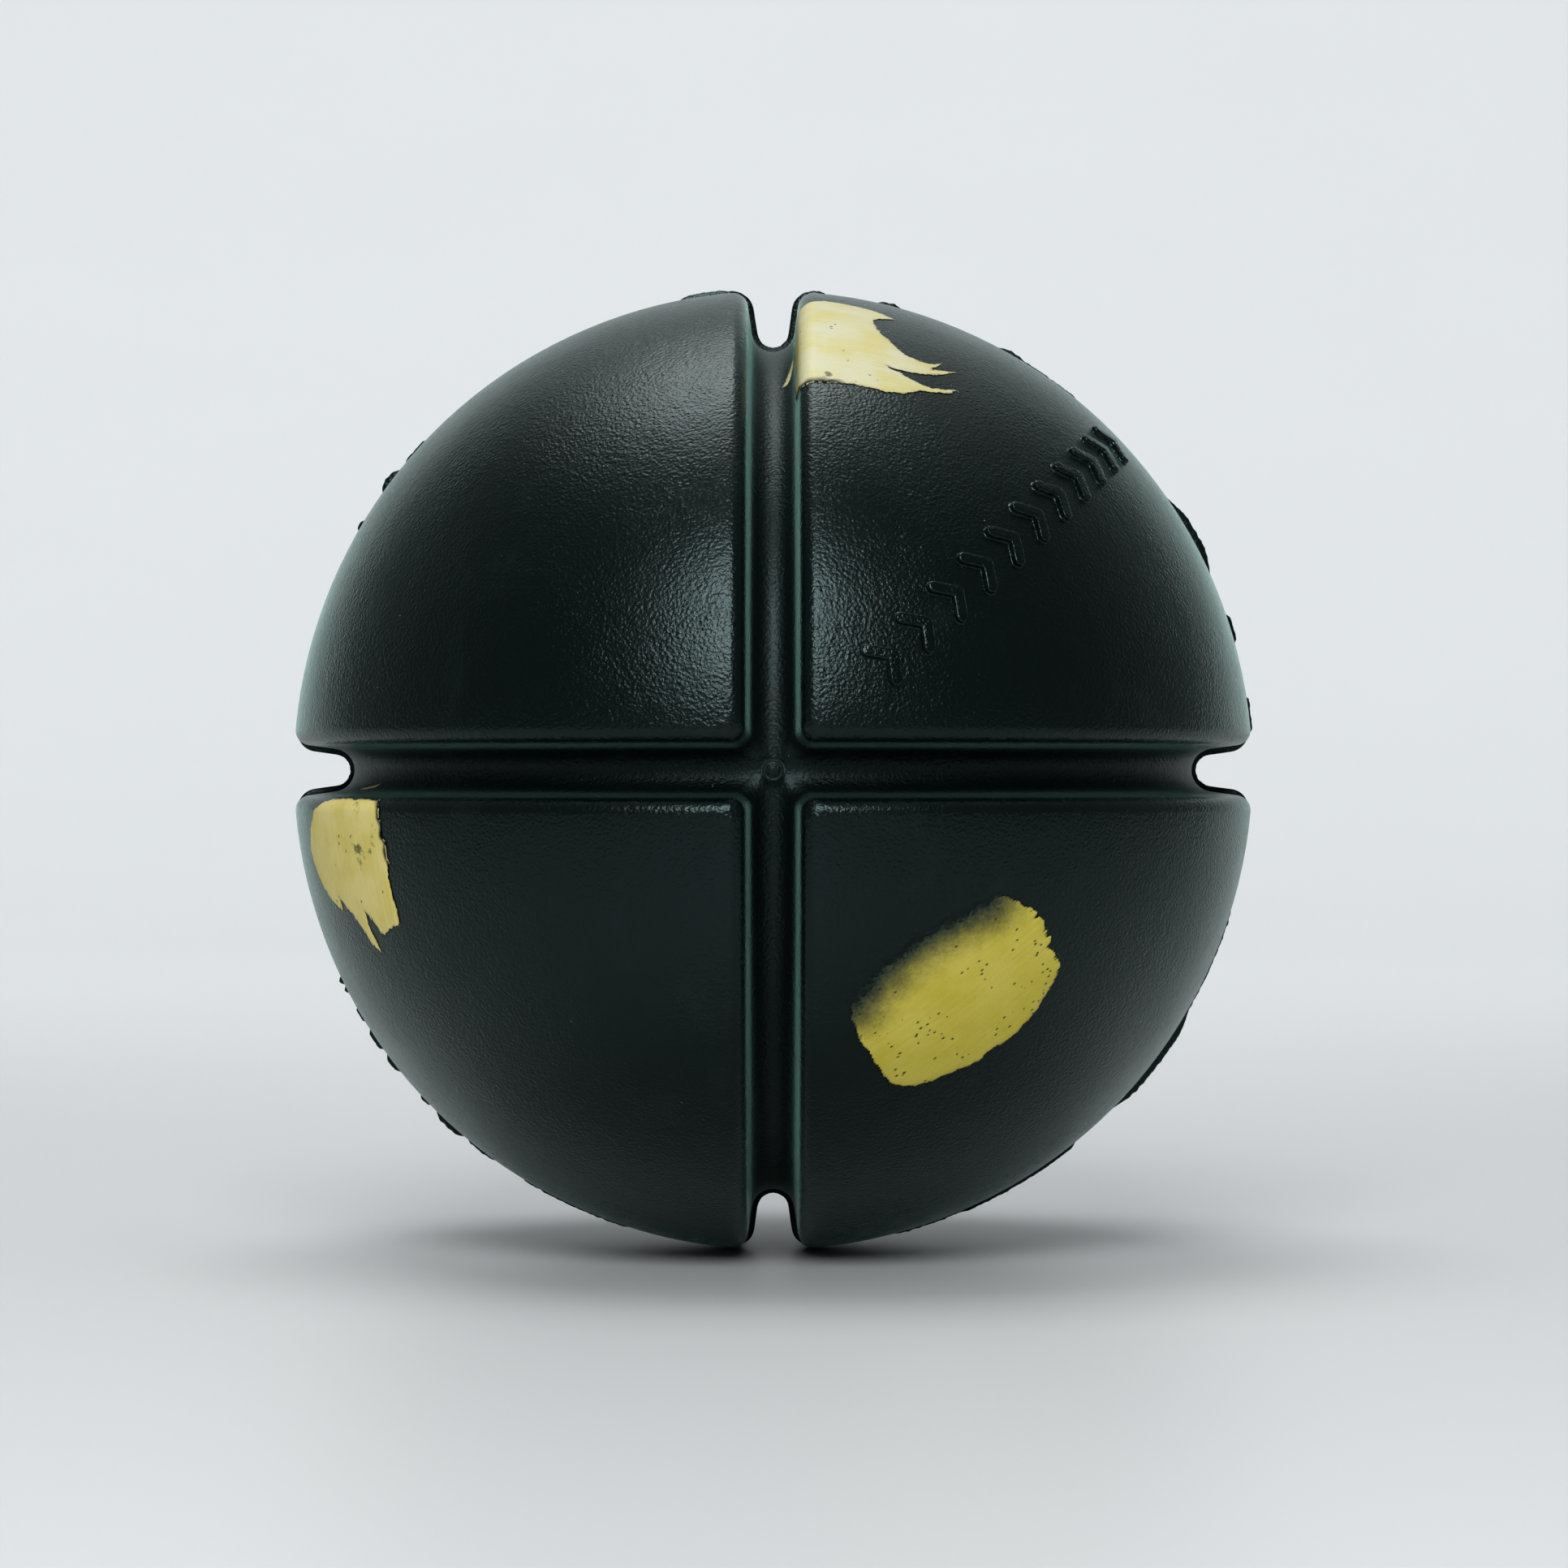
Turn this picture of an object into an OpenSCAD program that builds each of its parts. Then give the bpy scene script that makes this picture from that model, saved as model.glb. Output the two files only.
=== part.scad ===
// Solid rubber lawn ball: a black cover with two deep grooves, moulded over a
// contrasting core and marked with three daubs of yellow paint.
// Millimetres. The origin is the ball's centre and +Z is up. The grooves lie in the
// planes x = 0 and z = 0 and cross at the two ends of the Y axis. The halves of the
// mould met in the plane y = 0.

/* [Ball] */
// Diameter over the moulded blocks
ball_d = 76.2; // [72:0.1:84]
// Diameter of the core inside the cover
core_d = 56; // [40:1:60]

/* [Grooves] */
// Depth of both grooves below the ball's surface
groove_depth = 4.8; // [4:0.1:5.5]
// Radius of the rounded groove floor
floor_r = 1.7; // [1.4:0.1:2]
// Draft of each groove wall, in degrees
wall_draft = 8; // [4:1:10]
// Radius rolled over each groove lip
lip_r = 1.2; // [1:0.1:1.6]

/* [Moulding] */
// How far the thin flash stands out along the parting line
flash_h = 0.4; // [0.2:0.05:0.6]
// Thickness of that flash
flash_t = 0.2; // [0.15:0.05:0.4]
// Diameter of the gate pip left where the grooves cross at -Y
pip_d = 1.9; // [1.4:0.1:2.4]
// Height of the gate pip above the groove floor
pip_h = 1.3; // [0.8:0.1:2]
// Height of the raised chevrons above the surface
chevron_h = 0.4; // [0.3:0.05:0.8]
// Width of the row of chevrons
chevron_w = 3.9; // [3:0.1:4.5]
// Stroke of one chevron, along the row
chevron_stroke = 1; // [0.6:0.1:1.4]
// Number of chevrons in the row
chevron_count = 11; // [3:1:11]

/* [Paint] */
// Thickness of the dried paint
paint_t = 0.12; // [0.08:0.02:0.2]

/* [Hidden] */
$fn = 96;
ball_r = ball_d / 2;
core_r = core_d / 2;
floor_rho = ball_r - groove_depth; // radius of the groove floor about the ball's centre
arc_rho = floor_rho + floor_r;     // where the floor's own arc is centred
lip_cross = 12;                    // angle at which the lip's arc cuts the surface
arc_steps = 4;                     // flats that make up each arc of a groove
reach = 3;                         // how far cutters run past the ball
pip_root = 1;                      // how far the gate pip is rooted in the rubber
pip_cap = 0.7;                     // radius of its domed end, against its diameter
pip_turn = 20;                     // keeps its seam clear of the edges in the groove floors
row_turn = 44;                     // direction in which the chevrons climb from the pip
row_start = 18.5;                  // angle from the pip's axis to the first chevron
row_step = 5.5;                    // angle from one chevron to the next
chevron_root = 1;                  // how far each chevron is rooted in the rubber
chevron_point = 1.2;               // how far a chevron's point leads its ends
rubber_black = [0.09, 0.10, 0.10];
core_red = [0.62, 0.10, 0.08];
paint_yellow = [0.78, 0.72, 0.36];

// Outlines of the paint, seen along +Y and scaled with the ball
upper_daub = [[3.6, 29], [3.6, 36], [7, 35.8], [9.5, 35], [8, 34], [11, 31.5], [13, 31.2],
    [11.5, 30.4], [14, 30.3], [10, 29.6], [14, 28.7], [8, 28.5]];
left_daub = [[-35.5, -4.2], [-34, -3.6], [-30.5, -3.6], [-29.6, -4.8], [-28.8, -8], [-28.2, -12],
    [-29.5, -12], [-29.8, -14], [-31, -11.8], [-33.2, -10.5], [-34.3, -9.5], [-35.8, -6]];
lower_daub = [[6, -16.5], [6.2, -19.5], [7.6, -22], [9.5, -23.4], [13.5, -22.3], [18, -20],
    [20, -17.8], [21.2, -15], [19.7, -11.2], [16.5, -9.2], [12.7, -11], [9, -13]];
outline_scale = ball_d / 76.2;

// Out of the right-hand wall into the rubber, and up along that wall
wall_out = [cos(wall_draft), -sin(wall_draft)];
wall_up = [sin(wall_draft), cos(wall_draft)];

// The lip's arc starts on the wall, and cuts the ball's surface at lip_cross
lip_rho = sqrt(ball_r * ball_r + lip_r * lip_r - 2 * ball_r * lip_r * cos(lip_cross));
lip_from = [0, arc_rho] + (floor_r + lip_r) * wall_out;
lip_rise = lip_from * wall_up;
lip_at = lip_from
    + (sqrt(lip_rise * lip_rise - lip_from * lip_from + lip_rho * lip_rho) - lip_rise) * wall_up;
lip_end = atan2(lip_at[1], lip_at[0]) + lip_cross;

function arc_points(centre, r, from, to) = [for (i = [0:arc_steps])
    let (turn = from + (to - from) * i / arc_steps) centre + r * [cos(turn), sin(turn)]];

// Right-hand side of a groove's cross-section, from the middle of its floor to clear
// of the ball, with every face raised by skin
function right_side(skin) = concat(
    arc_points([0, arc_rho], floor_r - skin, -90, -wall_draft),
    arc_points(lip_at, lip_r + skin, 180 - wall_draft, lip_end),
    [lip_at * (1 + reach / lip_rho)]);

// The same on the left, without the middle of the floor
function left_side(side) = [for (i = [len(side) - 1:-1:1]) [-side[i][0], side[i][1]]];

// Cross-section of a groove, cut inwards from +Y
module groove_section(skin = 0) {
    side = right_side(skin);
    polygon(concat(side, left_side(side)));
}

// What a groove round the Z axis takes away
module groove_ring() {
    rotate_extrude() rotate(-90) groove_section();
}

module grooved_ball() {
    difference() {
        sphere(r = ball_r);
        groove_ring();
        rotate([0, 90, 0]) groove_ring();
    }
}

// Thin fin squeezed out where the two halves of the mould met
module parting_flash() {
    rotate([90, 0, 0]) linear_extrude(height = flash_t, center = true) difference() {
        circle(r = ball_r + flash_h);
        for (turn = [0:90:270]) rotate(turn) groove_section(flash_h);
    }
}

// Stub of rubber where the mould was filled, at the grooves' -Y crossing
module gate_pip() {
    cap_r = pip_d * pip_cap;
    rotate([90, 0, 0]) rotate(pip_turn) translate([0, 0, floor_rho - pip_root]) intersection() {
        cylinder(d = pip_d, h = pip_h + pip_root);
        translate([0, 0, pip_h + pip_root - cap_r]) sphere(r = cap_r);
    }
}

module chevron_outline() {
    half = chevron_w / 2;
    polygon([[0, -half], [chevron_point, 0], [0, half], [-chevron_stroke, half],
        [chevron_point - chevron_stroke, 0], [-chevron_stroke, -half]]);
}

// Raised row of chevrons that climbs one of the blocks
module chevron_row() {
    intersection() {
        sphere(r = ball_r + chevron_h);
        rotate([90, 0, 0]) rotate(row_turn) for (i = [0:chevron_count - 1])
            rotate([0, row_start + i * row_step, 0]) translate([0, 0, ball_r - chevron_root])
                linear_extrude(height = reach) chevron_outline();
    }
}

module cover() {
    color(rubber_black) difference() {
        union() {
            grooved_ball();
            parting_flash();
            gate_pip();
            chevron_row();
        }
        sphere(r = core_r);
    }
}

module core() {
    color(core_red) sphere(r = core_r);
}

// Film of paint on the ball's surface, inside an outline on its -Y side
module paint_film(outline) {
    color(paint_yellow) intersection() {
        difference() {
            sphere(r = ball_r + paint_t);
            sphere(r = ball_r);
        }
        rotate([90, 0, 0]) linear_extrude(height = ball_r + reach)
            scale(outline_scale) polygon(outline);
    }
}

cover();
core();
paint_film(upper_daub);  // paint_daub_upper
paint_film(left_daub);  // paint_daub_left
paint_film(lower_daub);  // paint_daub_lower
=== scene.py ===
import bisect
import math
import bpy
import bmesh
from mathutils import Matrix, Vector, noise


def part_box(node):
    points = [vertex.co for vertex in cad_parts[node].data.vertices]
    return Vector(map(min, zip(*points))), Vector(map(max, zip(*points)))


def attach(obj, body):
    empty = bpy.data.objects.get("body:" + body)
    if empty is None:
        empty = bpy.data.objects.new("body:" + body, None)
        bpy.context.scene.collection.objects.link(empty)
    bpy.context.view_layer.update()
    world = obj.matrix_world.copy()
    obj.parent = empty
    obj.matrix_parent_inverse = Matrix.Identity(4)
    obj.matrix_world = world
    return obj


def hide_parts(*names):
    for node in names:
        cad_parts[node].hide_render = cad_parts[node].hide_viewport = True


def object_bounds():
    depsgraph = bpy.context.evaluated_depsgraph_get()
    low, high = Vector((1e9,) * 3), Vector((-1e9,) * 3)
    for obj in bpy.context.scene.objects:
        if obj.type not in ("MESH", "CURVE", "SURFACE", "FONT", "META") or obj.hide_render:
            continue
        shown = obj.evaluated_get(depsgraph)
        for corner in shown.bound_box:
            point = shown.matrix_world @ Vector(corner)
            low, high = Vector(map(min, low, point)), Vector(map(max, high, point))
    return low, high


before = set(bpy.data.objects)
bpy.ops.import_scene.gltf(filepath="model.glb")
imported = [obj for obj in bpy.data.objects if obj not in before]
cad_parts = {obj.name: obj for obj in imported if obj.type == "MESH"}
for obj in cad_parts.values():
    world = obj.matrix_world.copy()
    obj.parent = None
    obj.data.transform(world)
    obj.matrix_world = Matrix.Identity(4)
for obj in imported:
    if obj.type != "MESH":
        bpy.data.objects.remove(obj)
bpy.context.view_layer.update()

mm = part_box("core")[1][2] / 28  # the core is a 56 mm ball

# Every size below is in millimetres, and every angle in degrees

ball = {
    "radius": 38.1,
    "grooveDepth": 4.8,
    "floorRadius": 1.7,
    "wallDraft": 8,
    "lipRadius": 1.2,
    "floorSteps": 6,
    "wallSteps": 3,
    "lipSteps": 8,
    "blockSteps": 18,
    "fineAngle": 9,        # near the crossings the rings lie closer together
    "fineSteps": 30,
    "ringSteps": 58,
    "cornerRadius": 1.2,   # of a block, seen along Y at the crossing
    "cornerFrom": 1.9,     # distance from the groove's middle where that rounding is full
    "cornerUntil": 6,      # and where it has died away
    "waver": 0.035,        # unevenness of the moulded surface
    "waverLength": 11,
}


def grooveSide():
    # Points (across, out) from the middle of a groove's floor, over its wall and lip, to half
    # way along a block, each point's distance past the lip's crest, and that crest's angle
    radius, lip = ball["radius"], ball["lipRadius"]
    draft = math.radians(ball["wallDraft"])
    wallOut = Vector((math.cos(draft), -math.sin(draft)))
    wallUp = Vector((math.sin(draft), math.cos(draft)))
    floorAt = Vector((0, radius - ball["grooveDepth"] + ball["floorRadius"]))
    start = floorAt + (ball["floorRadius"] + lip) * wallOut
    run = start.dot(wallUp)
    lipAt = start + (math.sqrt(run * run - start.length_squared + (radius - lip) ** 2) - run) * wallUp
    crest = math.atan2(lipAt.x, lipAt.y)
    points = []
    for i in range(ball["floorSteps"] + 1):
        turn = -math.pi / 2 + (math.pi / 2 - draft) * i / ball["floorSteps"]
        points.append(floorAt + ball["floorRadius"] * Vector((math.cos(turn), math.sin(turn))))
    foot, top = points[-1], lipAt - lip * wallOut
    points += [foot.lerp(top, i / ball["wallSteps"]) for i in range(1, ball["wallSteps"])]
    for i in range(ball["lipSteps"] + 1):
        turn = math.pi - draft - (math.pi / 2 - draft + crest) * i / ball["lipSteps"]
        points.append(lipAt + lip * Vector((math.cos(turn), math.sin(turn))))
    crestIndex = len(points) - 1
    for i in range(1, ball["blockSteps"] + 3):
        turn = crest + (math.pi / 4 - crest) * i / ball["blockSteps"]
        points.append(radius * Vector((math.sin(turn), math.cos(turn))))
    along = [0]
    for a, b in zip(points, points[1:]):
        along.append(along[-1] + (b - a).length)
    return points, [s - along[crestIndex] for s in along], crest


side, sidePlace, crestTurn = grooveSide()


def onCover(ring, sign, past, turn, lift=0):
    # The point that is lift above the cover, past the crest of a groove's lip, at an angle
    # round that groove's ring from -Y
    if past > 0:
        outward = crestTurn + past / ball["radius"]
        normal = Vector((math.sin(outward), math.cos(outward)))
        spot = ball["radius"] * normal
    else:
        i = bisect.bisect_left(sidePlace, past, 1, len(side) - 1)
        spot = side[i - 1].lerp(side[i], (past - sidePlace[i - 1]) / (sidePlace[i] - sidePlace[i - 1]))
        slope = (side[i] - side[i - 1]).normalized()
        normal = Vector((-slope.y, slope.x))
    across, out = spot + normal * lift
    forward, up = out * math.cos(math.radians(turn)), out * math.sin(math.radians(turn))
    if ring == "upright":
        return Vector((sign * across, -forward, up))
    return Vector((up, -forward, sign * across))


def smoothStep(low, high, value):
    t = min(1, max(0, (value - low) / (high - low)))
    return t * t * (3 - 2 * t)


def finished(name, bm, material, slot, *nodes):
    # A bmesh in millimetres becomes a piece at the origin
    bmesh.ops.scale(bm, vec=(mm, mm, mm), verts=bm.verts)
    mesh = bpy.data.meshes.new(name)
    bm.to_mesh(mesh)
    bm.free()
    mesh.shade_smooth()
    mesh.materials.append(material)
    piece = bpy.data.objects.new(name, mesh)
    bpy.context.collection.objects.link(piece)
    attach(piece, "root")
    if nodes:
        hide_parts(*nodes)
    print(name, len(mesh.polygons), "faces")


# Materials

class Socket:
    # A node's output, which sums and products turn into Math nodes
    def __init__(self, finish, link):
        self.finish, self.link = finish, link

    def math(self, operation, first, second):
        return self.finish.node("ShaderNodeMath", {"operation": operation}, {0: first, 1: second})

    def __add__(self, other):
        return self.math("ADD", self, other)

    def __radd__(self, other):
        return self.math("ADD", other, self)

    def __sub__(self, other):
        return self.math("SUBTRACT", self, other)

    def __mul__(self, other):
        return self.math("MULTIPLY", self, other)


class Finish:
    def __init__(self, name):
        self.material = bpy.data.materials.new(name)
        self.material.use_nodes = True
        self.tree = self.material.node_tree
        self.shader = self.tree.nodes["Principled BSDF"]
        self.place = self.node("ShaderNodeTexCoord", out="Object")

    def node(self, kind, settings=None, inputs=None, out=0):
        made = self.tree.nodes.new(kind)
        for key, value in (settings or {}).items():
            setattr(made, key, value)
        self.feed(made, inputs or {})
        return Socket(self, made.outputs[out])

    def feed(self, made, inputs):
        for key, value in inputs.items():
            if isinstance(value, Socket):
                self.tree.links.new(value.link, made.inputs[key])
            elif isinstance(value, (tuple, list)) and len(value) != len(made.inputs[key].default_value):
                made.inputs[key].default_value = (*value, 1)
            else:
                made.inputs[key].default_value = value

    def noise(self, length, detail=2, roughness=0.5, stretch=(1, 1, 1)):
        # Cloudy noise from 0 to 1, whose features are about length millimetres across
        where = self.node("ShaderNodeVectorMath", {"operation": "MULTIPLY"},
                          {0: self.place, 1: [s / (length * mm) for s in stretch]})
        return self.node("ShaderNodeTexNoise", None, {"Vector": where, "Scale": 1, "Detail": detail,
                                                      "Roughness": roughness})

    def spots(self, length, kind="F1"):
        where = self.node("ShaderNodeVectorMath", {"operation": "SCALE"},
                          {0: self.place, "Scale": 1 / (length * mm)})
        return self.node("ShaderNodeTexVoronoi", {"feature": kind}, {"Vector": where, "Scale": 1},
                         "Distance")

    def between(self, value, low, high, toLow=0, toHigh=1):
        return self.node("ShaderNodeMapRange", {"interpolation_type": "SMOOTHSTEP"},
                         {"Value": value, "From Min": low, "From Max": high, "To Min": toLow,
                          "To Max": toHigh})

    def blend(self, factor, first, second):
        return self.node("ShaderNodeMix", {"data_type": "RGBA"},
                         {"Factor": factor, "A": first, "B": second}, "Result")

    def bump(self, depth, height):
        return self.node("ShaderNodeBump", None, {"Strength": 1, "Distance": depth * mm, "Height": height},
                         "Normal")


# In everything named "edge", a smooth step runs from the first value to the second, and a third
# and fourth say what it starts and ends at

rubber = {
    "colour": (0.0010, 0.0032, 0.0034),
    "dusty": (0.010, 0.017, 0.017),
    "dustShare": 0.35,
    "dustEdge": (0.27, 0.45),
    "speck": (0.30, 0.31, 0.30),
    "speckShare": 0.7,
    "speckSpacing": 1.3,
    "speckEdge": (0.05, 0.03),
    "speckGroup": 2.2,     # size of the groups that the specks come in
    "speckGroupEdge": (0.60, 0.66),
    "patch": 9,            # size of the duller patches
    "patchDull": 0.10,
    "smear": 3.5,
    "smearShape": (1, 1, 0.35),
    "roughness": 0.22,
    "grooveDull": 0.18,    # the grooves are duller
    "grooveEdge": (37, 35),
    "specular": 0.38,
    "tint": (0.74, 1.0, 0.98),
    "bloom": 0.3,          # a thin greenish bloom, seen at a low angle
    "bloomSpread": 0.3,
    "bloomTint": (0.55, 1.0, 0.88),
    "grain": 0.26,         # size of the leathery mould grain
    "grainDepth": 0.075,
    "cells": 0.5,          # shares of the cells and the clouds in that grain
    "clouds": 0.9,
    "cloudSize": 0.9,      # against the grain's size
    "fade": 6,             # size of the places where the grain is shallower
    "fadeEdge": (0.3, 0.7, 0.6, 1),
    "ripple": 1.1,         # size of the slight unevenness beneath the grain
    "rippleShare": 0.2,
}


def rubberBlack(name, gloss=0):
    m = Finish(name)
    grain = m.spots(rubber["grain"], "SMOOTH_F1") * rubber["cells"]
    grain += m.noise(rubber["grain"] * rubber["cloudSize"]) * rubber["clouds"]
    patches = m.noise(rubber["patch"], 4, 0.6)
    smears = m.noise(rubber["smear"], 5, 0.65, rubber["smearShape"])
    dust = m.between(patches * smears, *rubber["dustEdge"])
    specks = m.between(m.spots(rubber["speckSpacing"]), *rubber["speckEdge"])
    specks *= m.between(m.noise(rubber["speckGroup"], 1), *rubber["speckGroupEdge"])
    colour = m.blend(dust * rubber["dustShare"], rubber["colour"], rubber["dusty"])
    colour = m.blend(specks * rubber["speckShare"], colour, rubber["speck"])
    height = grain * m.between(m.noise(rubber["fade"], 3, 0.6), *rubber["fadeEdge"])
    height += m.noise(rubber["ripple"]) * rubber["rippleShare"]
    out = m.node("ShaderNodeVectorMath", {"operation": "LENGTH"}, {0: m.place}, "Value")
    inGroove = m.between(out, *(radius * mm for radius in rubber["grooveEdge"]))
    roughness = rubber["roughness"] - gloss + patches * rubber["patchDull"] + inGroove * rubber["grooveDull"]
    m.feed(m.shader, {"Base Color": colour, "Roughness": roughness,
                      "Specular IOR Level": rubber["specular"], "Specular Tint": rubber["tint"],
                      "Sheen Weight": rubber["bloom"], "Sheen Roughness": rubber["bloomSpread"],
                      "Sheen Tint": rubber["bloomTint"],
                      "Normal": m.bump(rubber["grainDepth"], height)})
    return m.material


core = {
    "colour": (0.30, 0.018, 0.012),
    "pale": (0.42, 0.05, 0.035),
    "paleEdge": (0.4, 0.7),
    "cloud": 2.5,
    "roughness": 0.62,
    "cloudDull": 0.12,
    "grain": 0.4,
    "grainDepth": 0.02,
}


def rubberRed():
    m = Finish("rubberRed")
    cloud = m.noise(core["cloud"], 4, 0.6)
    colour = m.blend(m.between(cloud, *core["paleEdge"]), core["colour"], core["pale"])
    m.feed(m.shader, {"Base Color": colour, "Roughness": core["roughness"] + cloud * core["cloudDull"],
                      "Normal": m.bump(core["grainDepth"], m.noise(core["grain"], 3))})
    return m.material


paint = {
    "film": 0.07,          # thickness of the dried paint
    "rim": 0.02,           # and at its very edge
    "sunk": 0.04,          # how far its underside lies in the rubber
    "pitch": 0.13,         # spacing of the film's own mesh
    "margin": 1,           # how far that mesh is laid out past the outline
    "fromMiddle": 0.2,     # how near it may come to the middle of a groove
    "rise": 0.8,           # distance from the edge in which it gets thicker
    "spill": 0.35,         # how far it goes past its outline, as a share of that
    "bristles": ((1, 0.45, 14, 1.7), (0.8, 0.17, 9, 5.2)),  # strength, width, length and seed
    "wobble": 0.7,         # length of the outline's wobbles
    "wobbleSeeds": (2.2, 7.9),
    "wobbleHard": 0.06,    # and their size along the crisp and the soft edge
    "wobbleSoft": 0.25,
    "roughness": 0.50,
    "streakDull": 0.12,
    "streak": 0.32,        # width of one bristle's streak
    "streakRun": (0.05, 0.02),
    "grit": 0.28,
    "cloud": 3.0,
    "bodyRagged": (0.2, 0.55),   # how far streaks and grit eat into the film
    "bodyEdge": (0.30, 0.37),
    "veilRagged": (0.3, 0.3),    # how far clouds and grit eat into its soft side
    "veilEdge": (0.02, 0.22),
    "thinMix": (0.35, 0.75),     # shares of streaks and clouds in where it is thin and paler, which on the upper daub is also a painted reflection
    "thinEdge": (0.38, 0.70),
    "overRubber": (0.030, 0.036, 0.018),
    "wornPatch": 0.9,
    "wornRagged": 2.6,
    "wornEdge": (0.72, 1.05),
    "wornShare": 0.8,
    "pinholes": 0.95,      # their spacing
    "pinholeShape": 1.6,
    "pinholeRagged": 0.2,
    "pinholeEdge": (0.17, 0.09),
    "pinholeGroup": 1.6,
    "pinholeGroupEdge": (0.64, 0.68),
    "pinholeShare": 0.9,
    "rimEdge": (0.60, 0.34),
    "rimShare": 0.45,
    "smoke": (0.008, 0.026, 0.018),
    "smokeEdge": (0.95, 0.10),
    "relief": (0.6, 0.35, 0.8, 0.7),  # shares of streaks, grit, edge and pinholes in its bumps
    "reliefEdge": (0.25, 0.6),
    "reliefDepth": 0.045,
}


def paintYellow(name, daub):
    m = Finish(name)
    along, across, depth, mist, wear = (
        m.node("ShaderNodeAttribute", {"attribute_name": key}, out="Fac")
        for key in ("strokeAlong", "strokeAcross", "paintDepth", "paintMist", "paintWear"))
    stroke = m.node("ShaderNodeCombineXYZ", None, {"X": along * paint["streakRun"][0],
                                                   "Y": across * (1 / paint["streak"]),
                                                   "Z": along * paint["streakRun"][1]})
    streak = m.node("ShaderNodeTexNoise", None, {"Vector": stroke, "Scale": 1, "Detail": 3,
                                                 "Roughness": 0.6})
    grit = m.noise(paint["grit"], 3, 0.6)
    cloud = m.noise(paint["cloud"], 3, 0.55)
    streaky, gritty = paint["bodyRagged"]
    body = depth + (streak - 0.5) * streaky + (grit - 0.5) * gritty
    cloudy, gritty = paint["veilRagged"]
    veil = mist + (cloud - 0.5) * cloudy + (grit - 0.5) * gritty
    alpha = m.between(body, *paint["bodyEdge"]) * m.between(veil, *paint["veilEdge"])
    streaky, cloudy = paint["thinMix"]
    # Where the film is thin it takes the paler colour; on the upper daub that pale cream is partly a painted
    # reflection of the overhead light
    thinness = m.between(streak * streaky + cloud * cloudy, *paint["thinEdge"])
    colour = m.blend(thinness, daub["thick"], daub["thin"])
    patchy = (m.noise(paint["wornPatch"], 4, 0.65) - 0.5) * paint["wornRagged"]
    worn = m.between(wear + patchy, *paint["wornEdge"])
    colour = m.blend(worn * paint["wornShare"], colour, paint["overRubber"])
    flat = m.node("ShaderNodeCombineXYZ", None, {"X": along, "Y": across * paint["pinholeShape"]})
    hole = m.node("ShaderNodeTexVoronoi", {"voronoi_dimensions": "2D"},
                  {"Vector": flat, "Scale": 1 / paint["pinholes"]}, "Distance")
    dots = m.between(hole + (grit - 0.5) * paint["pinholeRagged"], *paint["pinholeEdge"])
    dots *= m.between(m.noise(paint["pinholeGroup"]),
                      *(edge - daub["pinholes"] for edge in paint["pinholeGroupEdge"]))
    colour = m.blend(dots * paint["pinholeShare"], colour, paint["overRubber"])
    colour = m.blend(m.between(body, *paint["rimEdge"]) * paint["rimShare"], colour, paint["overRubber"])
    colour = m.blend(m.between(veil, *paint["smokeEdge"]), colour, paint["smoke"])
    streaky, gritty, edged, holed = paint["relief"]
    height = streak * streaky + grit * gritty + m.between(body, *paint["reliefEdge"]) * edged - dots * holed
    m.feed(m.shader, {"Base Color": colour, "Roughness": paint["roughness"] + streak * paint["streakDull"],
                      "Alpha": alpha, "Normal": m.bump(paint["reliefDepth"], height)})
    return m.material


coverMaterial = rubberBlack("rubberBlack")


# The cover: four blocks between two grooves

def halfSegment():
    # The eighth of the ball between the upright groove and the diagonal, from -Y to the equator
    bm = bmesh.new()
    line = [bm.verts.new((p.x, -p.y, 0)) for p in side]
    for a, b in zip(line, line[1:]):
        bm.edges.new((a, b))
    ends = bm.verts[:] + bm.edges[:]
    for angle, steps in ((ball["fineAngle"], ball["fineSteps"]),
                         (90 - ball["fineAngle"], ball["ringSteps"])):
        spun = bmesh.ops.spin(bm, geom=ends, cent=(0, 0, 0), axis=(-1, 0, 0),
                              angle=math.radians(angle), steps=steps, use_merge=False)
        ends = spun["geom_last"]
    bmesh.ops.remove_doubles(bm, verts=bm.verts, dist=1e-4)
    bmesh.ops.bisect_plane(bm, geom=bm.verts[:] + bm.edges[:] + bm.faces[:], dist=1e-4,
                           plane_co=(0, 0, 0), plane_no=(1, 0, -1), clear_outer=True)
    return bm


def mirrored(bm, axis, turn=0):
    # Mirrors everything on an axis, after a turn about Y
    spin = Matrix.Rotation(math.radians(turn), 3, "Y")
    bmesh.ops.rotate(bm, verts=bm.verts, cent=(0, 0, 0), matrix=spin)
    bmesh.ops.mirror(bm, geom=bm.verts[:] + bm.edges[:] + bm.faces[:], axis=axis, merge_dist=1e-3)
    bmesh.ops.rotate(bm, verts=bm.verts, cent=(0, 0, 0), matrix=spin.inverted())


def roundCorners(bm):
    # Rounds the blocks' corners where the grooves cross, keeping each point's depth
    for v in bm.verts:
        near, far = min(v.co.x, v.co.z), max(v.co.x, v.co.z)
        full = ball["cornerFrom"]
        bend = ball["cornerRadius"] * (smoothStep(0, full, near) if near < full
                                       else 1 - smoothStep(full, ball["cornerUntil"], near))
        if bend < 1e-3 or far > near + bend:
            continue
        turn = math.pi / 4 * (1 - (far - near) / bend)
        newNear = near + bend * (1 - math.cos(turn))
        newFar = near + bend * (1 - math.sin(turn))
        depth = v.co.length
        x, z = (newNear, newFar) if v.co.x < v.co.z else (newFar, newNear)
        v.co = (x, -math.sqrt(depth * depth - x * x - z * z), z)


def coverBlocks():
    bm = halfSegment()
    mirrored(bm, "X", -45)
    roundCorners(bm)
    for axis in "XZY":
        mirrored(bm, axis)
    bmesh.ops.recalc_face_normals(bm, faces=bm.faces)
    for v in bm.verts:
        v.co += v.co.normalized() * ball["waver"] * noise.noise(v.co / ball["waverLength"])
    return bm


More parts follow.
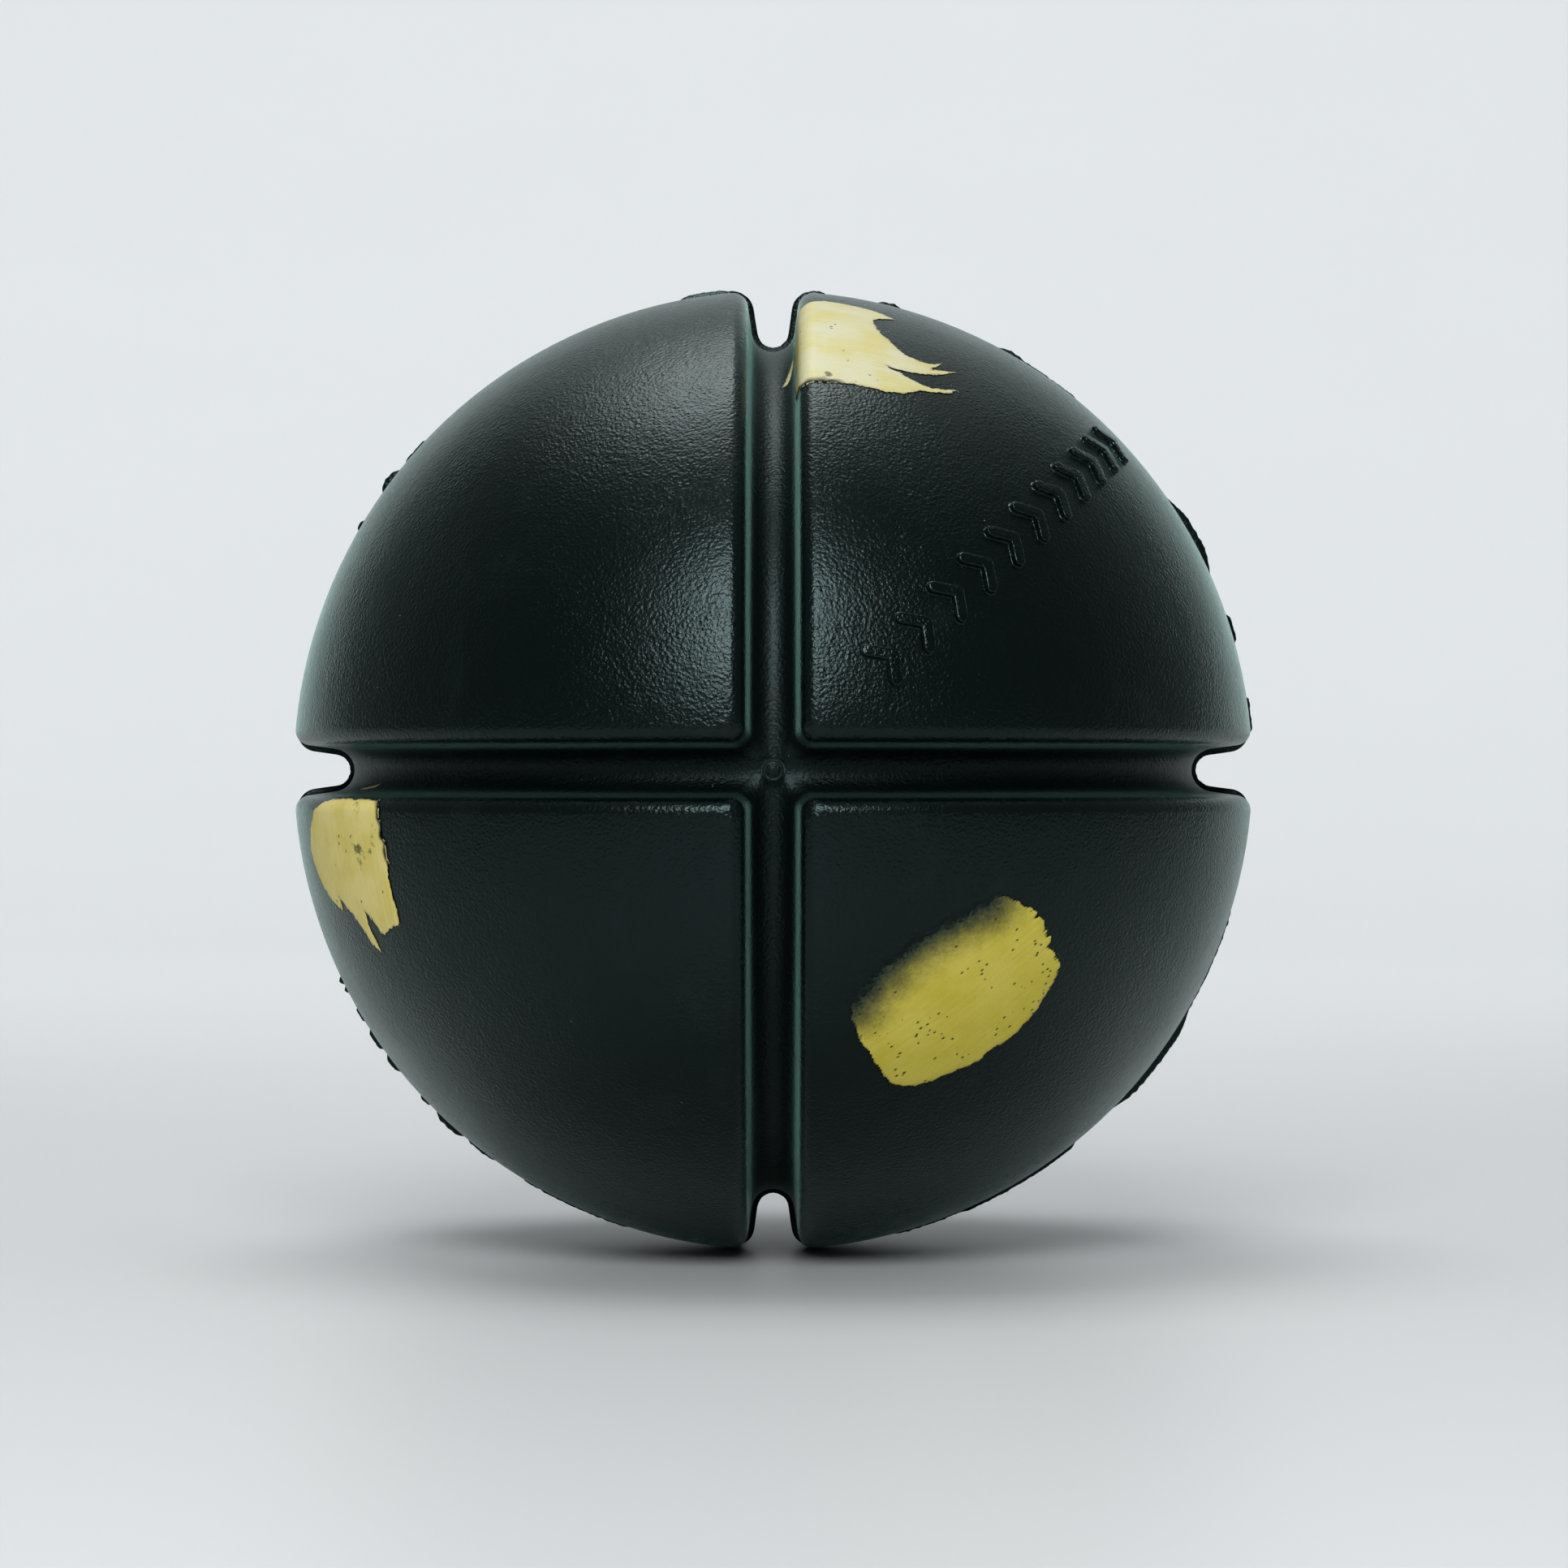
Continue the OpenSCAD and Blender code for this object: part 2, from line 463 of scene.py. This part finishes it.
def coreCavity(bm):
    # The wall against the core, which faces inwards
    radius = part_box("core")[1][2] / mm
    ready = set(bm.faces)
    bmesh.ops.create_icosphere(bm, subdivisions=4, radius=radius)
    bmesh.ops.reverse_faces(bm, faces=[f for f in bm.faces if f not in ready])


blocks = coverBlocks()
coreCavity(blocks)
finished("coverMoulding", blocks, coverMaterial, "cover_rubber", "cover")


# The raised row of chevrons

chevrons = {
    "count": 11,
    "first": 18.5,         # angle from -Y to the first one
    "step": 5.5,
    "climb": 44,           # direction in which the row climbs from the crossing
    "halfWidth": 1.95,
    "lead": 1.2,           # how far the point leads the ends
    "stroke": 0.92,
    # each ring's distance from the middle of the stroke, as a share of its half, and its height
    "rise": [(1.30, -0.3), (1.30, -0.02), (1.14, 0.015), (1.05, 0.06), (1.0, 0.15), (0.98, 0.28),
             (0.93, 0.38), (0.83, 0.435), (0.66, 0.455), (0.30, 0.46), (0.06, 0.46)],
    "legSteps": 5,
    "turnSteps": 8,
    "uneven": 0.03,
    "gloss": 0.07,         # how much smoother the marks are than the rest
}


def chevronRing(away):
    # The outline that runs this far from the chevron's middle line, with round ends
    reach = chevrons["halfWidth"] - chevrons["stroke"] / 2
    end = Vector((-chevrons["lead"], reach))
    leg = end.normalized()
    outer = Vector((leg.y, -leg.x))
    notch = Vector((-away / leg.y, 0))
    foot = end - outer * away
    points = [notch.lerp(foot, i / chevrons["legSteps"]) for i in range(chevrons["legSteps"])]
    for i in range(chevrons["turnSteps"]):
        turn = math.pi * i / chevrons["turnSteps"]
        points.append(end + away * (leg * math.sin(turn) - outer * math.cos(turn)))
    for i in range(chevrons["legSteps"]):
        points.append(end.lerp(Vector((0, 0)), i / chevrons["legSteps"]) + outer * away)
    half = math.atan2(outer.y, outer.x)
    for i in range(chevrons["turnSteps"] // 2):
        turn = half * (1 - 2 * i / chevrons["turnSteps"])
        points.append(away * Vector((math.cos(turn), math.sin(turn))))
    return points + [Vector((away, 0))] + [Vector((p.x, -p.y)) for p in reversed(points[1:])]


def chevron(bm):
    rings = [chevronRing(share * chevrons["stroke"] / 2) for share, height in chevrons["rise"]]
    order = bm.verts.layers.int.new("order")
    line = [bm.verts.new((*p, chevrons["rise"][0][1])) for p in rings[0]]
    for i, v in enumerate(line):
        v[order] = i
    edges = [bm.edges.new((a, b)) for a, b in zip(line, line[1:] + line[:1])]
    bmesh.ops.contextual_create(bm, geom=edges)
    for ring, (share, height) in zip(rings[1:], chevrons["rise"][1:]):
        made = bmesh.ops.extrude_edge_only(bm, edges=edges)["geom"]
        for v in made:
            if isinstance(v, bmesh.types.BMVert):
                v.co = (*ring[v[order]], height)
        edges = [e for e in made if isinstance(e, bmesh.types.BMEdge)]
    ends = bmesh.ops.contextual_create(bm, geom=edges)["faces"]
    bmesh.ops.triangulate(bm, faces=ends)


def chevronRow():
    climb = math.radians(chevrons["climb"])
    forward = Vector((math.cos(climb), 0, math.sin(climb)))
    aside = Vector((-math.sin(climb), 0, math.cos(climb)))
    row = bmesh.new()
    for i in range(chevrons["count"]):
        one = bmesh.new()
        chevron(one)
        start = math.radians(chevrons["first"] + i * chevrons["step"])
        for v in one.verts:
            turn = start + v.co.x / ball["radius"]
            tilt = v.co.y / ball["radius"]
            ahead = Vector((0, -math.cos(turn), 0)) + forward * math.sin(turn)
            v.co = (ahead * math.cos(tilt) + aside * math.sin(tilt)) * (ball["radius"] + v.co.z)
            v.co += v.co.normalized() * chevrons["uneven"] * noise.noise(v.co)
        bmesh.ops.recalc_face_normals(one, faces=one.faces)
        mesh = bpy.data.meshes.new("chevron")
        one.to_mesh(mesh)
        one.free()
        row.from_mesh(mesh)
        bpy.data.meshes.remove(mesh)
    return row


markMaterial = rubberBlack("rubberMark", chevrons["gloss"])
finished("chevronRow", chevronRow(), markMaterial, "cover_rubber")


# The stub where the rubber went in

pip = {
    "profile": [(1.1, -0.5), (0.95, 0.05), (0.86, 0.25), (0.83, 0.55), (0.82, 0.92), (0.80, 1.0),
                (0.76, 1.05), (0.70, 1.055), (0.65, 1.02), (0.58, 1.03), (0.45, 1.12), (0.26, 1.19),
                (0, 1.21)],  # radius and height above the groove's floor
    "steps": 40,
}


def gatePip():
    bm = bmesh.new()
    floorAt = ball["radius"] - ball["grooveDepth"]
    line = [bm.verts.new((r, -floorAt - height, 0)) for r, height in pip["profile"]]
    for a, b in zip(line, line[1:]):
        bm.edges.new((a, b))
    bmesh.ops.spin(bm, geom=bm.verts[:] + bm.edges[:], cent=(0, 0, 0), axis=(0, 1, 0),
                   angle=2 * math.pi, steps=pip["steps"], use_merge=True)
    bmesh.ops.remove_doubles(bm, verts=bm.verts, dist=1e-3)
    bmesh.ops.holes_fill(bm, edges=[e for e in bm.edges if e.is_boundary])
    bmesh.ops.recalc_face_normals(bm, faces=bm.faces)
    return bm


finished("gatePip", gatePip(), coverMaterial, "cover_rubber")


# Thin flash along the mould's parting line

flash = {
    "spacing": 0.2,
    "inGroove": 0.45,      # how far it stands out on the groove walls
    "grooveEdge": (-2.2, -0.6),
    "least": 0.10,
    "lowest": 0.04,
    "root": 0.25,
    "section": [(-1, 0.16), (0.35, 0.09), (0.8, 0.05), (1, 0), (0.8, -0.05), (0.35, -0.09), (-1, -0.16)],
    # from, to (degrees round the outline), height, length of the rise at each end (degrees)
    "runs": [(148.9, 149.6, 0.36, 0.6), (142.2, 143.6, 0.56, 1.5), (137, 139.6, 0.28, 1),
             (96.5, 99.5, 0.42, 3), (92, 96.5, 0.30, 1), (84.5, 88, 0.32, 1.5), (75.4, 76.6, 0.34, 1.6),
             (59.4, 60.8, 0.36, 2), (51, 59, 0.21, 1), (27.6, 31, 0.66, 5.2), (16, 18.4, 0.37, 1),
             (5, 8.4, 0.32, 0.8), (-44, -18, 0.22, 2), (-41, -33.5, 0.62, 6), (-66, -52, 0.38, 2),
             (-74, -66, 0.25, 3), (-121, -108, 0.23, 1), (-129, -126, 0.27, 1), (-133.4, -131.4, 0.48, 2),
             (-137, -136, 0.34, 0.6), (-142.8, -141.8, 0.45, 1.4), (-146.8, -144.8, 0.41, 0.7),
             (-150, -148.6, 0.30, 0.5), (-152.9, -152.6, 0.36, 0.4), (-154.2, -153.8, 0.38, 0.4)],
    "degree": 0.665,       # length of a degree round the outline
    "tooth": 0.42,         # length of its ragged teeth, their height, and their seed
    "toothHeight": 0.10,
    "toothSeed": 3.1,
    "wave": 4.5,           # length of its slow waves, their share of its height, and their seed
    "waveShare": 0.12,
    "waveSeed": 8.7,
}


def flashHeight(place, past):
    # How far the flash stands out at a point of the outline
    turn = math.degrees(math.atan2(place.z, place.x))
    tooth = noise.noise(Vector((turn * flash["degree"] / flash["tooth"], flash["toothSeed"], 0)))
    wave = noise.noise(Vector((turn * flash["degree"] / flash["wave"], flash["waveSeed"], 0)))
    on = flash["least"]
    for low, high, height, rise in flash["runs"]:
        here = smoothStep(low - rise, low, turn) * (1 - smoothStep(high, high + rise, turn))
        on = max(on, here * height * (1 + flash["waveShare"] * wave) + here * flash["toothHeight"] * tooth)
    inside = 1 - smoothStep(*flash["grooveEdge"], past)
    inGroove = flash["inGroove"] * (1 + flash["waveShare"] * tooth)
    return max(flash["lowest"], on * (1 - inside) + inGroove * inside)


def partingFlash():
    rings = (("upright", 90, -1, 1), ("level", 90, 1, -1),
             ("upright", -90, 1, -1), ("level", -90, -1, 1))
    end = sidePlace[-3]  # half way along a block
    steps = round((end - sidePlace[0]) / flash["spacing"])
    samples = []
    for ring, turn, first, second in rings:
        for i in range(-steps, steps):
            past = sidePlace[0] + (end - sidePlace[0]) * abs(i) / steps
            sign = first if i < 0 else second
            samples.append((ring, sign, past, turn))
    heights = [flashHeight(onCover(*sample), sample[2]) for sample in samples]

    def section(i, step):
        share, y = flash["section"][step]
        lift = -flash["root"] if share < 0 else heights[i] * share
        place = onCover(*samples[i], lift)
        place.y = y
        return place

    bm = bmesh.new()
    order = bm.verts.layers.int.new("order")
    line = [bm.verts.new(section(i, 0)) for i in range(len(samples))]
    for i, v in enumerate(line):
        v[order] = i
    edges = [bm.edges.new((a, b)) for a, b in zip(line, line[1:] + line[:1])]
    for step in (*range(1, len(flash["section"])), 0):
        made = bmesh.ops.extrude_edge_only(bm, edges=edges)["geom"]
        for v in made:
            if isinstance(v, bmesh.types.BMVert):
                v.co = section(v[order], step)
        edges = [e for e in made if isinstance(e, bmesh.types.BMEdge)]
    bmesh.ops.remove_doubles(bm, verts=bm.verts, dist=1e-4)
    bmesh.ops.recalc_face_normals(bm, faces=bm.faces)
    return bm


finished("partingFlash", partingFlash(), coverMaterial, "cover_rubber")


# Three daubs of paint. Outlines and smears are (distance past the lip's crest, angle round the
# groove), and a worn place is such a point with its radius. "stroke" is the brush's direction,
# and along it, from the first distance to the second, "frayed" pulls the edge by the third.
# "rounds" says how often the outline's corners are cut. Each daub's "soft" stretch of its
# outline, from one point to another, fades away over "softness".

upperDaub = {
    "ring": "upright", "sign": 1, "stroke": 0, "frayed": (5, 9, 0.6), "rounds": 0,
    "outline": [(-3.3, 52.0), (-3.7, 56), (-3.4, 62), (-3.8, 67), (-3.0, 71.5), (-0.5, 73.4),
                (0.7, 74.6), (2.1, 74.3), (3.5, 73.8), (4.9, 72.9), (6.4, 71.1), (5.4, 69.9),
                (4.6, 68.8), (4.8, 65.6), (5.5, 63.2), (6.2, 61.1), (7.1, 59.4), (7.9, 58.7),
                (8.7, 58.8), (10.2, 60.6), (9.5, 58.7),
                (9.0, 57.4), (11.4, 59.5), (10.0, 56.9), (8.5, 55.7), (7.3, 55.3), (6.4, 55.2),
                (5.4, 55.7), (6.8, 54.4), (8.0, 53.3), (9.0, 53.2), (11.3, 54.4), (10.4, 53.0),
                (9.2, 52.3), (8.0, 51.6), (7.0, 50.6), (5.8, 50.0), (4.9, 49.9), (4.0, 50.3),
                (2.8, 50.5), (1.7, 50.4), (0.5, 50.3), (-0.4, 50.2), (-1.3, 50.3)],
    "smears": [[(-5.7, 61.2), (-5.2, 61.0), (-4.8, 62.2), (-4.4, 64.6), (-4.1, 67.6), (-4.5, 67.4),
                (-4.95, 65.2), (-5.35, 63.0)]],
    "soft": (40, 44), "softness": 0.7,
    "worn": [(0.9, 52.0, 1.3), (2.4, 55, 0.6), (-3.2, 54, 2.2), (-3.2, 58, 2.2), (-3.2, 62, 2.2),
             (-3.2, 66, 2.2), (-3.2, 70, 2.2)],
    # The pale cream colour where this film is thin is partly a painted reflection of the overhead light,
    # besides thinner paint
    "thick": (0.55, 0.50, 0.20), "thin": (0.57, 0.56, 0.38), "pinholes": -0.02,
}

leftDaub = {
    "ring": "level", "sign": -1, "stroke": 0, "frayed": (5, 8.5, 0.5), "rounds": 0,
    "outline": [(-1.2, -54), (-1.1, -52.3), (-0.3, -51.5), (1.1, -51.3), (2.5, -50.7), (3.8, -50.7),
                (5.0, -50.9), (6.6, -50.9), (7.4, -50.6), (8.6, -50.9), (9.2, -53.9), (9.6, -55.4),
                (8.6, -56.4), (8.2, -57.3), (7.6, -58.2), (8.9, -57.9), (11.1, -56.9), (10.3, -58.8),
                (9.0, -60.2), (8.0, -61.8), (7.2, -63.3), (6.8, -64.5), (7.9, -64.4), (6.9, -67.5),
                (6.0, -69.7), (4.5, -71.5), (3.0, -72.6), (1.2, -71.3), (-0.1, -69.2), (-1.1, -65.7),
                (-1.3, -60)],
    "smears": [[(-4.4, -68.5), (-4.6, -66), (-5.0, -63.8), (-5.3, -63.4), (-5.0, -66), (-4.8, -68.5)]],
    "soft": (1, 5), "softness": 0.5,
    "worn": [(3.0, -56.5, 2.4), (2.3, -53.5, 2.2), (-0.6, -56, 1.4)],
    "thick": (0.70, 0.59, 0.16), "thin": (0.78, 0.68, 0.27), "pinholes": 0.0,
}

lowerDaub = {
    "ring": "upright", "sign": 1, "stroke": 34, "frayed": (-1, 5, 0.7), "rounds": 2,
    "outline": [(2.3, -27.4), (2.6, -30), (3.6, -33.6), (4.7, -36.7), (5.7, -39.3), (6.8, -39.9),
                (9.1, -39.7), (10.5, -39), (12.6, -38.5), (13.5, -37.1), (15.1, -36.4), (16.7, -34.4),
                (17.8, -32.5), (18.7, -29.9), (19.5, -28.3), (19.2, -26.1), (18.6, -24.2),
                (18.3, -21.9), (17.6, -19.4), (16.6, -17.7), (15.2, -16.2), (13.6, -15.3), (12.0, -15.9),
                (9.9, -17.3), (7.8, -18.6), (5.9, -20.3), (4.5, -22.3), (3.1, -24.2), (2.5, -25.7)],
    "smears": [],
    "soft": (21, 28), "softness": 5,
    "worn": [],
    "thick": (0.58, 0.49, 0.058), "thin": (0.64, 0.55, 0.10), "pinholes": 0.09,
}


def insideBy(point, outline, edges):
    # Distance from a point to some of an outline's edges, positive inside it
    nearest, inside = 1e9, False
    for i, (a, b) in enumerate(zip(outline, outline[1:] + outline[:1])):
        edge = b - a
        if i in edges:
            t = min(1, max(0, (point - a).dot(edge) / edge.length_squared))
            nearest = min(nearest, (point - a - edge * t).length)
        if (a.y > point.y) != (b.y > point.y) and point.x < a.x + edge.x * (point.y - a.y) / edge.y:
            inside = not inside
    return nearest if inside else -nearest


def rounded(outline):
    # Cuts the corners, so that every edge becomes two
    made = []
    for a, b in zip(outline, outline[1:] + outline[:1]):
        made += [a.lerp(b, 0.25), a.lerp(b, 0.75)]
    return made


def strokeValues(spot, daub, shapes, hardEdges, softEdges, arc):
    # What the film and its material need to know at a spot: depth, mist, wear, and the
    # distances along and across the stroke
    turn = math.radians(daub["stroke"])
    stroke = Vector((math.cos(turn), math.sin(turn)))
    beside = Vector((-math.sin(turn), math.cos(turn)))
    frayFrom, frayTo, fray = daub["frayed"]
    along, across = spot.dot(stroke), spot.dot(beside)
    bristles = sum(strength * noise.noise(Vector((across / width, along / length, seed)))
                   for strength, width, length, seed in paint["bristles"])
    uneven = Vector([noise.noise(Vector((*spot, seed)) / paint["wobble"]) for seed in paint["wobbleSeeds"]])
    pulled = spot - stroke * bristles * fray * smoothStep(frayFrom, frayTo, along)
    pulled += uneven * paint["wobbleHard"]
    hard = insideBy(pulled, shapes[0], hardEdges)
    soft = insideBy(spot + uneven * paint["wobbleSoft"], shapes[0], softEdges)
    smears = [insideBy(pulled, smear, range(len(smear))) for smear in shapes[1:]]
    edge = max([hard if soft > 0 else soft] + smears)
    inSmear = edge > hard if smears else False
    wear = [1 - (spot - Vector((past, worn * arc))).length / radius for past, worn, radius in daub["worn"]]
    depth = edge / paint["rise"] + paint["spill"]
    shares = (depth, 1 if inSmear else soft / daub["softness"], max([0] + wear))
    return (*(min(1, max(0, share)) for share in shares), along, across)


def paintFilm(name, daub, node):
    arc = math.radians(1) * ball["radius"]  # millimetres in a degree round the ball
    shapes = [[Vector((past, turn * arc)) for past, turn in shape]
              for shape in [daub["outline"]] + daub["smears"]]
    softEdges = set(range(*daub["soft"]))
    for i in range(daub["rounds"]):
        shapes[0] = rounded(shapes[0])
        softEdges = {e for soft in softEdges for e in (soft * 2, soft * 2 + 1)}
    hardEdges = set(range(len(shapes[0]))) - softEdges
    low, high = (Vector([pick(p[i] for shape in shapes for p in shape) + margin for i in (0, 1)])
                 for pick, margin in ((min, -paint["margin"]), (max, paint["margin"])))
    low.x = max(low.x, sidePlace[0] + paint["fromMiddle"])
    wide, tall = high.x - low.x, high.y - low.y
    bm = bmesh.new()
    keys = ("paintDepth", "paintMist", "paintWear", "strokeAlong", "strokeAcross")
    layers = {key: bm.verts.layers.float.new(key) for key in (*keys, "past", "turn")}
    bmesh.ops.create_grid(bm, x_segments=round(wide / paint["pitch"]),
                          y_segments=round(tall / paint["pitch"]), size=0.5)
    for v in bm.verts:
        spot = Vector((low.x + (v.co.x + 0.5) * wide, low.y + (v.co.y + 0.5) * tall))
        for key, value in zip(keys, strokeValues(spot, daub, shapes, hardEdges, softEdges, arc)):
            v[layers[key]] = value
        v[layers["past"]], v[layers["turn"]] = spot.x, spot.y / arc
    empty = [f for f in bm.faces if max(v[layers["paintDepth"]] for v in f.verts) <= 0]
    bmesh.ops.delete(bm, geom=empty, context="FACES")
    pinched = True
    while pinched:  # no two faces may touch at a corner alone
        pinched = {v.link_faces[0] for v in bm.verts if len(v.link_faces) == 2 and len(v.link_edges) == 4}
        bmesh.ops.delete(bm, geom=list(pinched), context="FACES")
    top = set(bm.verts)
    bmesh.ops.extrude_face_region(bm, geom=bm.faces[:])
    for v in bm.verts:
        lift = paint["rim"] + paint["film"] * v[layers["paintDepth"]] if v in top else -paint["sunk"]
        v.co = onCover(daub["ring"], daub["sign"], v[layers["past"]], v[layers["turn"]], lift)
    if bm.calc_volume(signed=True) < 0:
        bmesh.ops.reverse_faces(bm, faces=bm.faces)
    finished(name, bm, paintYellow(name + "Paint", daub), "yellow_paint", node)


paintFilm("upperDaub", upperDaub, "paint_daub_upper")
paintFilm("leftDaub", leftDaub, "paint_daub_left")
paintFilm("lowerDaub", lowerDaub, "paint_daub_lower")

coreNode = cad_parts["core"]
coreNode.data.materials.clear()
coreNode.data.materials.append(rubberRed())


# Floor, light and camera

studio = {
    "paper": (0.60, 0.62, 0.63),
    "paperCloud": 60,      # size of its faint clouds, and how much darker they are
    "paperShade": 0.985,
    "paperRoughness": 0.45,
    "reach": 1200,         # how far the paper runs to each side and in front
    "wallAt": 1600,        # where it has curved up behind the ball
    "wallHeight": 2200,
    "curve": 900,
    "curveSteps": 16,
    "air": (0.95, 0.98, 1.0),
    "fill": 0.20,          # how much light the dim room around gives
    "backdrop": 0.50,      # how bright the same room looks past the paper's edges
}

# Each panel stands at a distance from "towards", in the direction given, and faces it
lamps = {
    "frontPanel": {"elevation": 34, "azimuth": -4, "distance": 620, "size": (280, 290), "power": 2.2,
                   "towards": (0, 0, 0), "spread": 180},
    "topPanel": {"elevation": 104, "azimuth": 20, "distance": 700, "size": (400, 360), "power": 1.8,
                 "towards": (0, 0, 0), "spread": 180},
    "ceiling": {"elevation": 90, "azimuth": 0, "distance": 1100, "size": (1500, 1500), "power": 2.2,
                "towards": (0, 450, 0), "spread": 180},
    "leftWash": {"elevation": 12, "azimuth": -32, "distance": 1500, "size": (700, 900), "power": 6.0,
                 "towards": (0, 1600, 400), "spread": 140},
    "rightWash": {"elevation": 12, "azimuth": 32, "distance": 1500, "size": (700, 900), "power": 5.8,
                  "towards": (0, 1600, 400), "spread": 140},
}

camera = {
    "distance": 11,        # in ball radii
    "lens": 120.5,
    "shiftX": 0.0070,
    "shiftY": -0.0088,
    "clipStart": 0.01,
}


def sweep():
    bm = bmesh.new()
    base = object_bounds()[0][2] / mm  # it stands on the two lips of its upright groove
    reach, curve, wall = studio["reach"], studio["curve"], studio["wallAt"]
    line = [(-reach, base), (wall - curve, base)]
    for i in range(1, studio["curveSteps"] + 1):
        turn = math.pi / 2 * i / studio["curveSteps"]
        line.append((wall - curve + curve * math.sin(turn), base + curve * (1 - math.cos(turn))))
    line.append((wall, studio["wallHeight"]))
    verts = [bm.verts.new((-reach, y, z)) for y, z in line]
    edges = [bm.edges.new((a, b)) for a, b in zip(verts, verts[1:])]
    made = bmesh.ops.extrude_edge_only(bm, edges=edges)["geom"]
    far = [v for v in made if isinstance(v, bmesh.types.BMVert)]
    bmesh.ops.translate(bm, vec=(2 * reach, 0, 0), verts=far)
    bmesh.ops.scale(bm, vec=(mm, mm, mm), verts=bm.verts)
    mesh = bpy.data.meshes.new("studioSweep")
    bm.to_mesh(mesh)
    bm.free()
    mesh.shade_smooth()
    floor = bpy.data.objects.new("studioSweep", mesh)
    bpy.context.collection.objects.link(floor)
    m = Finish("studioPaper")
    shaded = [c * studio["paperShade"] for c in studio["paper"]]
    m.feed(m.shader, {"Base Color": m.blend(m.noise(studio["paperCloud"]), studio["paper"], shaded),
                      "Roughness": studio["paperRoughness"]})
    mesh.materials.append(m.material)


def softbox(name, values):
    light = bpy.data.lights.new(name, "AREA")
    light.shape = "RECTANGLE"
    light.size, light.size_y = (s * mm for s in values["size"])
    light.energy = values["power"]
    light.spread = math.radians(values["spread"])
    lamp = bpy.data.objects.new(name, light)
    bpy.context.collection.objects.link(lamp)
    up, turn = math.radians(values["elevation"]), math.radians(values["azimuth"])
    place = Vector((math.cos(up) * math.sin(turn), -math.cos(up) * math.cos(turn), math.sin(up)))
    lamp.location = (Vector(values["towards"]) + place * values["distance"]) * mm
    lamp.rotation_euler = place.to_track_quat("Z", "Y").to_euler()


sweep()
for name, values in lamps.items():
    softbox(name, values)

world = bpy.data.worlds.new("studio")
world.use_nodes = True
bpy.context.scene.world = world
air = world.node_tree.nodes["Background"]
air.inputs["Color"].default_value = (*studio["air"], 1)
seen = world.node_tree.nodes.new("ShaderNodeLightPath")
level = world.node_tree.nodes.new("ShaderNodeMapRange")
level.inputs["To Min"].default_value = studio["fill"]
level.inputs["To Max"].default_value = studio["backdrop"]
world.node_tree.links.new(seen.outputs["Is Camera Ray"], level.inputs["Value"])
world.node_tree.links.new(level.outputs["Result"], air.inputs["Strength"])

view = bpy.data.cameras.new("camera")
view.lens = camera["lens"]
view.shift_x, view.shift_y = camera["shiftX"], camera["shiftY"]
view.clip_start = camera["clipStart"]
viewer = bpy.data.objects.new("camera", view)
viewer.location = (0, -camera["distance"] * ball["radius"] * mm, 0)
viewer.rotation_euler = (math.pi / 2, 0, 0)
bpy.context.collection.objects.link(viewer)
bpy.context.scene.camera = viewer
bpy.context.scene.view_settings.view_transform = "Standard"
bpy.context.scene.view_settings.look = "Medium High Contrast"
print("studio ready")
